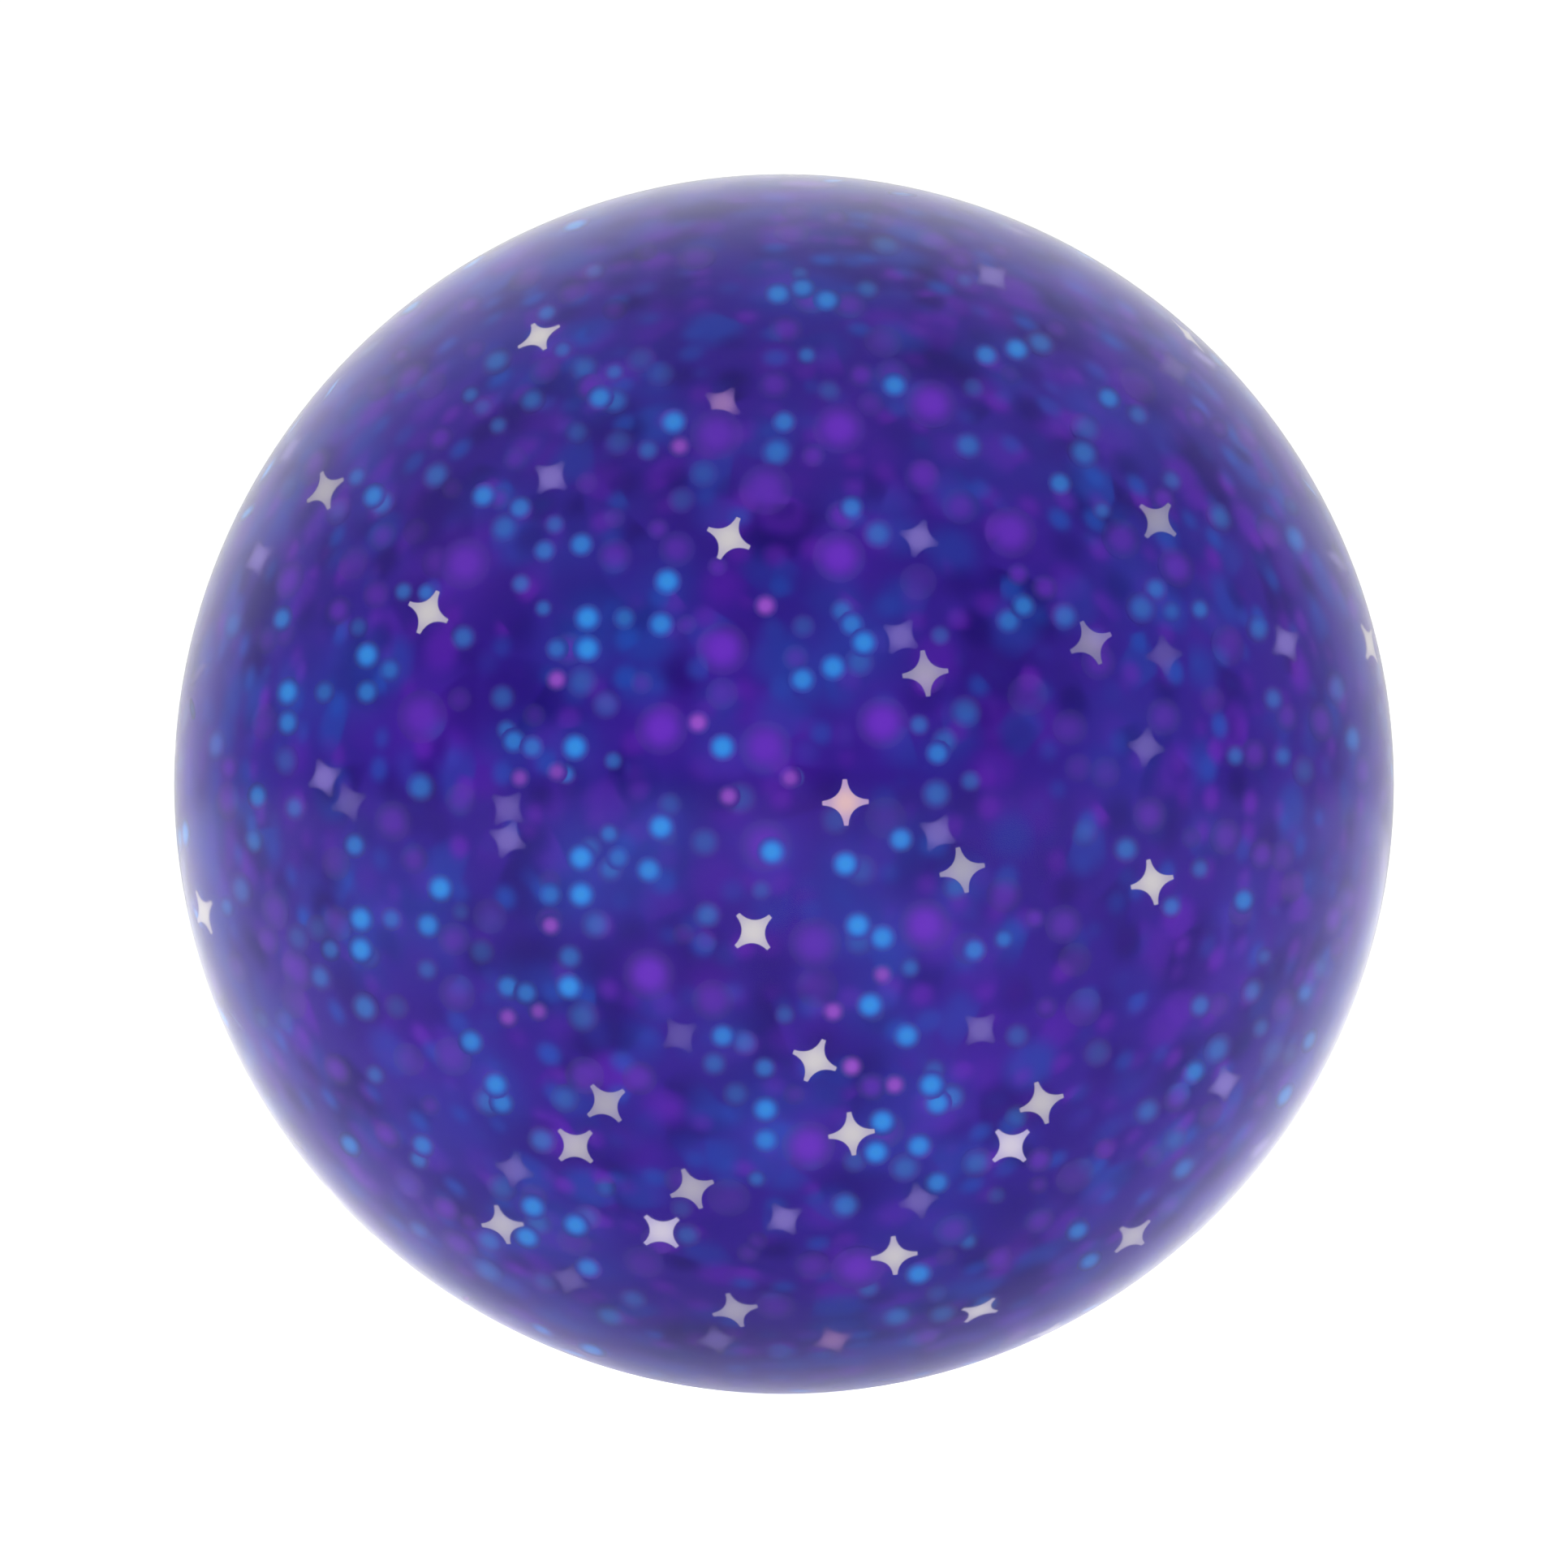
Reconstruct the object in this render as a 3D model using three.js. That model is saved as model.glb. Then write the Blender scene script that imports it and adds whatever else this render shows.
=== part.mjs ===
// A glitter juggling ball, cast in layers: a clear outer skin, a tinted layer and an opaque
// core lie one inside the other, and film confetti is held at two depths between them.
// The origin is the ball's centre and +Z is up. Its front faces -Y, and the moulds that cast
// the two outer layers part in the XZ plane, so each of those layers is two bonded cups.
import * as THREE from "three";

// Cast layers from the outside in, in millimetres.
const ballRadius = 37.5;
const skinWall = 0.7;
const upperRoom = 2.6; // where the upper confetti lies
const tintWall = 0.6;
const lowerRoom = 2.2; // where the lower confetti lies
const partingGap = 0.3; // bond line between the two cups of a layer

// Film confetti, in millimetres.
const filmThickness = 0.2;
const upperStarAcross = 2.85; // from tip to opposite tip
const lowerStarAcross = 2.4;
const starWaist = 1.45; // across the body between the tips
const tipWidth = 0.42;
const discAcross = 3.2;
const filmClearance = 0.15; // least distance kept from a layer, above and below

// How strongly the clear skin bends light.
const skinBend = 1.2;

// Fineness of the round surfaces.
const segmentsAround = 40;
const arcSteps = 10;
const discSegments = 18;
const flankSteps = 4;

// Where each piece of confetti is seen from the front, through the skin: how far across and
// how far up, in ball radii, and for a star how far it is turned, in degrees. A fourth number
// says how much of its lean towards the front a star has, where it isn't all of it.
const upperStarViews = [
  [-0.4, 0.73, 25, 0.2], [-0.58, 0.28, 63], [-0.09, 0.4, 63], [0.61, 0.43, 50],
  [0.6, -0.16, 10], [-0.05, -0.24, 40], [0.05, -0.45, 65], [0.11, -0.57, 5],
  [-0.46, -0.72, 8], [0.18, -0.77, 3], [0.32, -0.86, 60, 0.1], [0.37, -0.59, 40],
  [-0.2, -0.73, 40], [-0.75, 0.48, 20], [0.23, 0.18, 5], [0.96, 0.23, 45],
  [0.29, -0.14, 10], [-0.95, -0.21, 30], [-0.29, -0.52, 35], [-0.34, -0.59, 42],
  [0.42, -0.52, 15], [-0.15, -0.66, 20], [0.57, -0.74, 45], [-0.08, -0.86, 15],
  [0.5, 0.23, 22],
];
const lowerStarViews = [
  [-0.86, 0.37, 15], [-0.38, 0.5, 50], [0.22, 0.4, 70], [0.34, 0.83, 35],
  [0.19, 0.24, 55], [0.62, 0.21, 5], [0.82, 0.23, 30], [0.59, 0.06, 80],
  [0.25, -0.08, 60], [-0.75, 0.01, 20], [-0.45, -0.09, 65], [0.32, -0.4, 45],
  [-0.44, -0.63, 75], [0, -0.71, 30], [0.22, -0.68, 10], [0.72, -0.49, 12],
];
const roseStarViews = [[0.1, -0.03, 0]];
const lowerRoseViews = [[0.08, -0.91, 20], [-0.1, 0.62, 55]];
const discViews = [
  [-0.1, 0.22], [-0.2, 0.09], [0.16, 0.1], [0.09, 0.58], [0.24, 0.62], [0.09, 0.37],
  [0.23, -0.23], [-0.22, -0.31], [0.04, -0.59], [0.12, -0.79],
];

// Radii that follow from the driving dimensions.
const skinInnerRadius = ballRadius - skinWall;
const tintOuterRadius = skinInnerRadius - upperRoom;
const tintInnerRadius = tintOuterRadius - tintWall;
const coreRadius = tintInnerRadius - lowerRoom;

const front = new THREE.Vector3(0, -1, 0);
const quarterTurn = Math.PI / 2;

const materials = {
  clear: new THREE.MeshStandardMaterial({
    color: 0xdcdcf2,
    roughness: 0.12,
    metalness: 0,
    transparent: true,
    opacity: 0.25,
  }),
  tinted: new THREE.MeshStandardMaterial({
    color: 0x5a48b8,
    roughness: 0.3,
    metalness: 0,
    transparent: true,
    opacity: 0.5,
  }),
  core: new THREE.MeshStandardMaterial({ color: 0x30248c, roughness: 0.45, metalness: 0 }),
  silver: new THREE.MeshStandardMaterial({ color: 0xc8c8d2, roughness: 0.35, metalness: 0.8 }),
  rose: new THREE.MeshStandardMaterial({ color: 0xe6bdb6, roughness: 0.35, metalness: 0.8 }),
  violet: new THREE.MeshStandardMaterial({ color: 0x6a2dbb, roughness: 0.4, metalness: 0.4 }),
};

const ball = new THREE.Group();

function addPiece(parent, name, geometry, material) {
  const piece = new THREE.Mesh(geometry, material);
  piece.name = name;
  parent.add(piece);
  return piece;
}

// Points of a circular arc about the centre, from one angle below the parting plane to another.
function arcPoints(radius, fromAngle, toAngle, steps) {
  return Array.from({ length: steps + 1 }, (_, i) => {
    const angle = THREE.MathUtils.lerp(fromAngle, toAngle, i / steps);
    const onAxis = Math.abs(angle) === quarterTurn;
    return new THREE.Vector2(onAxis ? 0 : radius * Math.cos(angle), radius * Math.sin(angle));
  });
}

// One cup of a layer: the outer arc from the pole to the bond line, then the inner arc back.
function cupGeometry(outerRadius, innerRadius) {
  const outerRim = -Math.asin(partingGap / 2 / outerRadius);
  const innerRim = -Math.asin(partingGap / 2 / innerRadius);
  const outline = [
    ...arcPoints(outerRadius, -quarterTurn, outerRim, arcSteps),
    ...arcPoints(innerRadius, innerRim, -quarterTurn, arcSteps),
  ];
  return new THREE.LatheGeometry(outline, segmentsAround);
}

function addCups(name, outerRadius, innerRadius, material) {
  addPiece(ball, `${name}_front`, cupGeometry(outerRadius, innerRadius), material);
  const rear = addPiece(ball, `${name}_rear`, cupGeometry(outerRadius, innerRadius), material);
  rear.rotation.x = Math.PI;
}

// A four-point star with blunt tips, whose flanks curve in to the waist between them.
function starGeometry(across) {
  const tip = across / 2;
  const halfWidth = tipWidth / 2;
  // A flank's control point pulls its middle in to the waist, along the line between two tips.
  const flankEnd = (tip + halfWidth) / 2;
  const waistPoint = starWaist / 2 / Math.SQRT2;
  const control = 2 * waistPoint - flankEnd;
  const outline = new THREE.Shape();
  outline.moveTo(tip, halfWidth);
  outline.quadraticCurveTo(control, control, halfWidth, tip);
  outline.lineTo(-halfWidth, tip);
  outline.quadraticCurveTo(-control, control, -tip, halfWidth);
  outline.lineTo(-tip, -halfWidth);
  outline.quadraticCurveTo(-control, -control, -halfWidth, -tip);
  outline.lineTo(halfWidth, -tip);
  outline.quadraticCurveTo(control, -control, tip, -halfWidth);
  outline.closePath();
  const settings = { depth: filmThickness, bevelEnabled: false, curveSegments: flankSteps };
  const star = new THREE.ExtrudeGeometry(outline, settings);
  star.translate(0, 0, -filmThickness / 2);
  return star;
}

function discGeometry() {
  const disc = new THREE.CylinderGeometry(
    discAcross / 2,
    discAcross / 2,
    filmThickness,
    discSegments,
  );
  disc.rotateX(quarterTurn);
  return disc;
}

// Middle of the free room between two round surfaces, whose facets sag towards the centre.
function seatRadius(outsideRadius, insideRadius) {
  const facetSag = Math.cos(Math.PI / segmentsAround) ** 2;
  return (outsideRadius * facetSag + insideRadius) / 2;
}

// The steepest a flat piece can lean in the room between two layers and stay clear of both.
function mostLean(outsideRadius, insideRadius, pieceAcross) {
  const room = 2 * (outsideRadius - seatRadius(outsideRadius, insideRadius));
  const sag = outsideRadius * (1 - Math.cos(Math.PI / segmentsAround) ** 2);
  const free = room - 2 * sag - 2 * filmClearance - filmThickness;
  return Math.asin(Math.min(1, free / pieceAcross));
}

// The way from the centre that leads away from the front by an angle, towards (across, up).
function awayFromFront(across, up, angle) {
  const share = Math.sin(angle) / Math.hypot(across, up);
  return new THREE.Vector3(across * share, -Math.cos(angle), up * share);
}

// Lays flat confetti at its seat, leaning towards a viewer in front as far as there is room.
// Light that reaches the viewer bends at the skin, and a seat allows for that bend.
function addConfetti(name, views, geometry, radius, steepest, material) {
  views.forEach(([across, up, turn = 0, leanShare = 1], i) => {
    const offset = Math.hypot(across, up);
    const bentAtSkin = Math.asin(offset / skinBend);
    const bentAtSeat = Math.asin((offset * ballRadius) / (skinBend * radius));
    const fromFront = Math.asin(offset) - bentAtSkin + bentAtSeat;
    const lean = Math.min(bentAtSeat, steepest) * leanShare;
    const seat = new THREE.Group();
    seat.position.copy(awayFromFront(across, up, fromFront)).multiplyScalar(radius);
    seat.quaternion.setFromUnitVectors(front, awayFromFront(across, up, fromFront - lean));
    ball.add(seat);
    const label = String(i + 1).padStart(2, "0");
    const piece = addPiece(seat, `${name}_${label}`, geometry, material);
    piece.rotation.set(quarterTurn, 0, THREE.MathUtils.degToRad(turn));
  });
}

addCups("outer_skin", ballRadius, skinInnerRadius, materials.clear);
addCups("tinted_layer", tintOuterRadius, tintInnerRadius, materials.tinted);

const coreOutline = arcPoints(coreRadius, -quarterTurn, quarterTurn, 2 * arcSteps);
addPiece(ball, "core", new THREE.LatheGeometry(coreOutline, segmentsAround), materials.core);

const upperSeat = seatRadius(skinInnerRadius, tintOuterRadius);
const lowerSeat = seatRadius(tintInnerRadius, coreRadius);
const upperLean = mostLean(skinInnerRadius, tintOuterRadius, upperStarAcross);
const lowerLean = mostLean(tintInnerRadius, coreRadius, lowerStarAcross);
const discLean = mostLean(tintInnerRadius, coreRadius, discAcross);
const upperStar = starGeometry(upperStarAcross);
const lowerStar = starGeometry(lowerStarAcross);
const disc = discGeometry();
addConfetti("upper_star", upperStarViews, upperStar, upperSeat, upperLean, materials.silver);
addConfetti("upper_rose_star", roseStarViews, upperStar, upperSeat, upperLean, materials.rose);
addConfetti("lower_star", lowerStarViews, lowerStar, lowerSeat, lowerLean, materials.silver);
addConfetti("lower_rose_star", lowerRoseViews, lowerStar, lowerSeat, lowerLean, materials.rose);
addConfetti("violet_disc", discViews, disc, lowerSeat, discLean, materials.violet);

export default ball;
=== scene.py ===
import math
import random
import bmesh
import bpy
import numpy as np
from mathutils import Matrix, Vector


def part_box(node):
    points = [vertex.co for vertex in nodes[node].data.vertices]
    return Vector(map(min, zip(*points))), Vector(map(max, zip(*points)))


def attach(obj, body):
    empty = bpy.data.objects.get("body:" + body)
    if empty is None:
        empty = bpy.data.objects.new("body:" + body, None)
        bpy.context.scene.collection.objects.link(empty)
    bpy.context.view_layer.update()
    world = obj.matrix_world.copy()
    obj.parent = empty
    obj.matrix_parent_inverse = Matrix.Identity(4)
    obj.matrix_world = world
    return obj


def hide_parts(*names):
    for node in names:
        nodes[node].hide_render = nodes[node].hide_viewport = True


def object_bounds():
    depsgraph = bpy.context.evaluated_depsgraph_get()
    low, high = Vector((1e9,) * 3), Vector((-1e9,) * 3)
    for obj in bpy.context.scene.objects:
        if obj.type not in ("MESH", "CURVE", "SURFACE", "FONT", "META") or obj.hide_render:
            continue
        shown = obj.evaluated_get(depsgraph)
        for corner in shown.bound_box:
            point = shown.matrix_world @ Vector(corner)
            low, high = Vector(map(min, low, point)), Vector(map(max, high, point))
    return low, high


# A glitter juggling ball: a clear skin over a tinted layer and a deep blue core, with film
# confetti at two depths. Everything is in metres, about the ball's centre; the front faces -Y.

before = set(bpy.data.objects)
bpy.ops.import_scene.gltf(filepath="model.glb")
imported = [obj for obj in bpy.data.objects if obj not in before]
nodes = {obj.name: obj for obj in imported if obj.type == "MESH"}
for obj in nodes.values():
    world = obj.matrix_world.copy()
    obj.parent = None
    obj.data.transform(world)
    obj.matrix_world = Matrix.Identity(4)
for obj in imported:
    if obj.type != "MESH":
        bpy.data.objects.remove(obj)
cadLow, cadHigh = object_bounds()
mm = 0.001
front = Vector((0, -1, 0))


def innerReach(name):
    return min(v.co.length for v in nodes[name].data.vertices)


ballRadius = cadHigh.z
skinInside = innerReach("outer_skin_front")
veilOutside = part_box("tinted_layer_front")[1].z
veilInside = innerReach("tinted_layer_front")
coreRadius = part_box("core")[1].z
upperRoom = (veilOutside, skinInside)
lowerRoom = (coreRadius, veilInside)
skinBend = 1.2  # how strongly the clear skin bends light
tiny = 1e-9  # stands in for a length of nought that is divided by
mergeReach = 0.001 * mm  # vertices nearer than this become one
for label, value in (("ball", ballRadius), ("tinted layer", veilOutside), ("core", coreRadius)):
    print("frame:", label, "radius", round(value / mm, 2), "mm")

cameraSettings = {
    "lens": 1600,  # long, so that the ball is seen nearly without perspective
    "sensor": 36,
    "ballShare": 0.778,  # the ball's width as a share of the picture's
    "clipEnd": 20,
}


def addCamera(settings):
    data = bpy.data.cameras.new("camera")
    data.lens = settings["lens"]
    data.sensor_width = settings["sensor"]
    data.clip_end = settings["clipEnd"]
    halfAngle = math.atan(settings["ballShare"] * settings["sensor"] / 2 / settings["lens"])
    camera = bpy.data.objects.new("camera", data)
    camera.location = front * ballRadius / math.sin(halfAngle)
    camera.rotation_euler = (math.pi / 2, 0, 0)
    bpy.context.scene.collection.objects.link(camera)
    bpy.context.scene.camera = camera


addCamera(cameraSettings)
print("camera: placed")


def addNode(tree, kind, **values):
    node = tree.nodes.new(kind)
    for key, value in values.items():
        setattr(node, key, value)
    return node


def setInputs(node, **values):
    for key, value in values.items():
        node.inputs[key.replace("_", " ")].default_value = value
    return node


def newMaterial(name, **values):
    material = bpy.data.materials.new(name)
    material.use_nodes = True
    tree = material.node_tree
    shader = tree.nodes["Principled BSDF"]
    setInputs(shader, **values)
    return material, tree, shader


def mixColours(tree, factor, first, second):
    node = addNode(tree, "ShaderNodeMix", data_type="RGBA")
    for value, index in ((factor, 0), (first, 6), (second, 7)):
        if isinstance(value, bpy.types.NodeSocket):
            tree.links.new(value, node.inputs[index])
        else:
            node.inputs[index].default_value = value
    return node.outputs[2]


def mapRange(tree, value, fromLow, fromHigh, toLow=0.0, toHigh=1.0):
    # Eases from one value to another while the input crosses a range.
    node = addNode(tree, "ShaderNodeMapRange", interpolation_type="SMOOTHSTEP")
    setInputs(node, From_Min=fromLow, From_Max=fromHigh, To_Min=toLow, To_Max=toHigh)
    tree.links.new(value, node.inputs["Value"])
    return node.outputs["Result"]


def addMath(tree, operation, first, second):
    node = addNode(tree, "ShaderNodeMath", operation=operation)
    for value, index in ((first, 0), (second, 1)):
        if isinstance(value, bpy.types.NodeSocket):
            tree.links.new(value, node.inputs[index])
        else:
            node.inputs[index].default_value = value
    return node.outputs["Value"]


def rgba(red, green, blue):
    return (red, green, blue, 1)


socketKinds = {
    float: "NodeSocketFloat",
    tuple: "NodeSocketColor",
    Vector: "NodeSocketVector",
}


def newGroup(name, inputs, outputs):
    # Each input is a label and a default value, each output a label and a kind of socket.
    group = bpy.data.node_groups.new(name, "ShaderNodeTree")
    for label, value in inputs:
        kind = socketKinds[type(value)]
        socket = group.interface.new_socket(label, in_out="INPUT", socket_type=kind)
        socket.default_value = value
    for label, kind in outputs:
        group.interface.new_socket(label, in_out="OUTPUT", socket_type=kind)
    return group, addNode(group, "NodeGroupInput"), addNode(group, "NodeGroupOutput")


grainSettings = {
    "scale": 1000.0,
    "detail": 2.0,
    "maskFrom": 0.35,
    "maskTo": 0.65,
}


def makeGrainGroup(settings):
    # Fine unevenness over Object coordinates: a height for bump and a mask for colour.
    group, start, end = newGroup(
        "surfaceGrain",
        [("Scale", settings["scale"]), ("Detail", settings["detail"])],
        [("Height", "NodeSocketFloat"), ("Mask", "NodeSocketFloat")],
    )
    place = addNode(group, "ShaderNodeTexCoord")
    noise = addNode(group, "ShaderNodeTexNoise", noise_dimensions="3D")
    group.links.new(place.outputs["Object"], noise.inputs["Vector"])
    group.links.new(start.outputs["Scale"], noise.inputs["Scale"])
    group.links.new(start.outputs["Detail"], noise.inputs["Detail"])
    group.links.new(noise.outputs["Fac"], end.inputs["Height"])
    mask = mapRange(group, noise.outputs["Fac"], settings["maskFrom"], settings["maskTo"])
    group.links.new(mask, end.inputs["Mask"])
    return group


grainGroup = makeGrainGroup(grainSettings)


def addGrain(tree, scale):
    node = addNode(tree, "ShaderNodeGroup", node_tree=grainGroup)
    return setInputs(node, Scale=scale)


def addGrainBump(tree, shader, grain, strength, distance):
    bump = addNode(tree, "ShaderNodeBump")
    setInputs(bump, Strength=strength, Distance=distance)
    tree.links.new(grain.outputs["Height"], bump.inputs["Height"])
    tree.links.new(bump.outputs["Normal"], shader.inputs["Normal"])


def finishPiece(bm, name, materials, replaced=(), smooth=True):
    mesh = bpy.data.meshes.new(name)
    bm.to_mesh(mesh)
    bm.free()
    for material in materials:
        mesh.materials.append(material)
    if smooth:
        mesh.shade_smooth()
    piece = bpy.data.objects.new(name, mesh)
    bpy.context.scene.collection.objects.link(piece)
    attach(piece, "root")
    if replaced:
        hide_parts(*replaced)
    return piece


cupSettings = {
    "steps": 192,
    "rings": 60,
    "bondHalf": 0.012 * mm,  # half the hairline between the two cups
    "lip": 0.1 * mm,  # how far the rounded edge of a rim reaches
    "lipSteps": 4,
    "lipsToBond": 1.5,  # how many lips in from the outside a cup's bonded faces begin
}


def arcVerts(bm, radius, fromAngle, toAngle, steps, side):
    # Vertices of an arc in the XY plane; an angle is from the parting plane to the pole.
    verts = []
    for i in range(steps + 1):
        angle = fromAngle + (toAngle - fromAngle) * i / steps
        spot = (radius * math.cos(angle), side * radius * math.sin(angle), 0)
        verts.append(bm.verts.new(spot))
    return verts


def addCup(name, outside, inside, side, materials, replaced, settings):
    # One cup of a layer, its rim rounded over, with a second material on the bonded faces.
    bm = bmesh.new()
    bond = settings["bondHalf"]
    lip = settings["lip"]
    rimAngle = math.asin((bond + lip) / outside)
    verts = arcVerts(bm, outside, math.pi / 2, rimAngle, settings["rings"], side)
    for i in range(1, settings["lipSteps"] + 1):
        turn = i / settings["lipSteps"] * math.pi / 2
        reach = outside - lip * (1 - math.cos(turn))
        verts.append(bm.verts.new((reach, side * (bond + lip * (1 - math.sin(turn))), 0)))
    verts += arcVerts(bm, inside, math.asin(bond / inside), math.pi / 2, settings["rings"], side)
    edges = [bm.edges.new(pair) for pair in zip(verts, verts[1:])]
    bmesh.ops.spin(
        bm,
        geom=verts + edges,
        cent=(0, 0, 0),
        axis=(0, 1, 0),
        dvec=(0, 0, 0),
        angle=2 * math.pi,
        steps=settings["steps"],
        use_merge=True,
    )
    bmesh.ops.remove_doubles(bm, verts=bm.verts, dist=mergeReach)
    bmesh.ops.recalc_face_normals(bm, faces=bm.faces)
    bonded = outside - lip * settings["lipsToBond"]
    for face in bm.faces:
        face.material_index = 0 if face.calc_center_median().length > bonded else 1
    return finishPiece(bm, name, materials, replaced)


skinSettings = {
    "tint": rgba(0.97, 0.965, 1.0),
    "roughness": 0.17,
    "grainScale": 900,
    "grainStrength": 0.05,
    "grainDistance": 0.02 * mm,
}


def makeClearRubber(settings):
    material, tree, shader = newMaterial(
        "clearRubber",
        Base_Color=settings["tint"],
        Roughness=settings["roughness"],
        IOR=skinBend,
        Transmission_Weight=1.0,
    )
    grain = addGrain(tree, settings["grainScale"])
    addGrainBump(tree, shader, grain, settings["grainStrength"], settings["grainDistance"])
    return material


def makeBondedFace():
    # Where one layer is cast onto the next there is no surface to see.
    material, tree, shader = newMaterial("bondedFace", Alpha=0.0)
    return material


clearRubber = makeClearRubber(skinSettings)
bondedFace = makeBondedFace()
for half, side in (("front", -1), ("rear", 1)):
    addCup(
        f"clear_skin_{half}",
        ballRadius,
        skinInside,
        side,
        [clearRubber, bondedFace],
        [f"outer_skin_{half}"],
        cupSettings,
    )
print("clear skin: two cups")

veilSettings = {
    "colour": rgba(0.045, 0.014, 0.40),
    "cloudColour": rgba(0.09, 0.035, 0.44),
    "alpha": 0.1,  # of each face; light and sight pass two
    "roughness": 0.6,
    "cloudScale": 90,
}


def makeVeil(settings):
    material, tree, shader = newMaterial(
        "tintedRubber",
        Roughness=settings["roughness"],
        IOR=skinBend,
        Specular_IOR_Level=0.0,
        Alpha=settings["alpha"],
    )
    grain = addGrain(tree, settings["cloudScale"])
    colour = mixColours(tree, grain.outputs["Mask"], settings["colour"], settings["cloudColour"])
    tree.links.new(colour, shader.inputs["Base Color"])
    return material


tintedRubber = makeVeil(veilSettings)
for half, side in (("front", -1), ("rear", 1)):
    addCup(
        f"tinted_layer_{half}_cast",
        veilOutside,
        veilInside,
        side,
        [tintedRubber, bondedFace],
        [f"tinted_layer_{half}"],
        cupSettings,
    )
print("tinted layer: two cups")

laySettings = {
    "clearance": 0.15 * mm,  # least distance kept from a layer
    "frontShare": 0.97,  # a film seen past this share of the ball's radius counts as at the rear
    "upperLeast": math.radians(83),  # how far from the front the loose confetti begins, in the
    "lowerLeast": math.radians(93),  # upper room, in the lower one and just above the core
    "coreLeast": math.radians(98),
    "halvings": 30,  # of a range that is searched
    "tipShare": 0.99,  # a vertex past this share of a star's reach is at a tip
    "starTips": 4,
}
chance = random.Random(5)
taken = []  # the middle and half width of each film laid so far


def fromFront(offset, radius):
    # How far from the front a piece at this depth lies, when the skin's bend shows it at
    # this offset from the ball's middle, in ball radii.
    bentAtSeat = math.asin(offset * ballRadius / (skinBend * radius))
    return math.asin(offset) - math.asin(offset / skinBend) + bentAtSeat


def awayFromFront(across, up, angle):
    # The way from the centre that leads away from the front by an angle, towards (across, up).
    share = math.sin(angle) / max(math.hypot(across, up), tiny)
    return Vector((across * share, -math.cos(angle), up * share))


def spotBehind(centre):
    # The spot on the core that is seen behind a film; for one at the rear, the spot below it.
    angle = front.angle(centre)
    if angle > fromFront(laySettings["frontShare"], centre.length):
        return centre.normalized() * coreRadius
    low, high = 0.0, laySettings["frontShare"]
    for _ in range(laySettings["halvings"]):
        middle = (low + high) / 2
        if fromFront(middle, centre.length) < angle:
            low = middle
        else:
            high = middle
    return awayFromFront(centre.x, centre.z, fromFront(low, coreRadius)) * coreRadius


def steepestLean(radius, room, across):
    # How far a film at this radius can lean before it meets a layer.
    free = min(radius - room[0], room[1] - radius) - laySettings["clearance"]
    return math.asin(min(1, 2 * free / across))


def filmMatrix(centre, normal, turn=0.0, size=1.0):
    # A frame whose Z is the film's normal, turned about it by turn.
    lie = front.rotation_difference(normal).to_matrix().to_4x4()
    base = Matrix.Rotation(math.pi / 2, 4, "X") @ Matrix.Rotation(turn, 4, "Z")
    return Matrix.Translation(centre) @ lie @ base @ Matrix.Scale(size, 4)


def layFront(across, up, radius, room, width, turn=0.0, size=1.0):
    # A film that the skin shows at (across, up), leaning towards the front where it can.
    offset = math.hypot(across, up)
    angle = fromFront(offset, radius)
    bentAtSeat = math.asin(offset * ballRadius / (skinBend * radius))
    lean = min(bentAtSeat, steepestLean(radius, room, width))
    centre = awayFromFront(across, up, angle) * radius
    taken.append((centre, width / 2))
    return filmMatrix(centre, awayFromFront(across, up, angle - lean), turn, size)


def isFree(centre, width):
    return all((centre - other).length > half + width / 2 for other, half in taken)


def looseDirection(least):
    # Any way from the centre that is at least this angle from the front.
    height = chance.uniform(-math.cos(least), 1)
    azimuth = chance.uniform(0, 2 * math.pi)
    across = math.sqrt(1 - height**2)
    return Vector((across * math.cos(azimuth), height, across * math.sin(azimuth)))


def layLoose(least, radius, room, width, size=1.0):
    # A film anywhere past an angle from the front, leaning any way; None where it is crowded.
    direction = looseDirection(least)
    lean = chance.uniform(0, 1) * steepestLean(radius, room, width)
    axis = direction.orthogonal()
    axis.rotate(Matrix.Rotation(chance.uniform(0, 2 * math.pi), 3, direction))
    turn = chance.uniform(0, math.pi)
    if not isFree(direction * radius, width):
        return None
    taken.append((direction * radius, width / 2))
    normal = Matrix.Rotation(lean, 3, axis) @ direction
    return filmMatrix(direction * radius, normal, turn, size)


def cadSeat(name):
    # The frame of a confetti node: its middle, the way it faces and how far it is turned.
    mesh = nodes[name].data
    low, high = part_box(name)
    centre = (low + high) / 2
    flat = max(mesh.polygons, key=lambda face: face.area)
    normal = flat.normal.copy()
    if normal.dot(centre) < 0:
        normal.negate()
    local = filmMatrix(centre, normal).inverted()
    spots = [local @ v.co for v in mesh.vertices]
    farthest = max(spot.length for spot in spots)
    tipReach = laySettings["tipShare"] * farthest
    tips = [math.atan2(spot.y, spot.x) for spot in spots if spot.length > tipReach]
    count = laySettings["starTips"]
    sines = sum(math.sin(count * t) for t in tips)
    cosines = sum(math.cos(count * t) for t in tips)
    turn = math.atan2(sines, cosines) / count
    taken.append((centre, farthest))
    return filmMatrix(centre, normal, turn)


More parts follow.
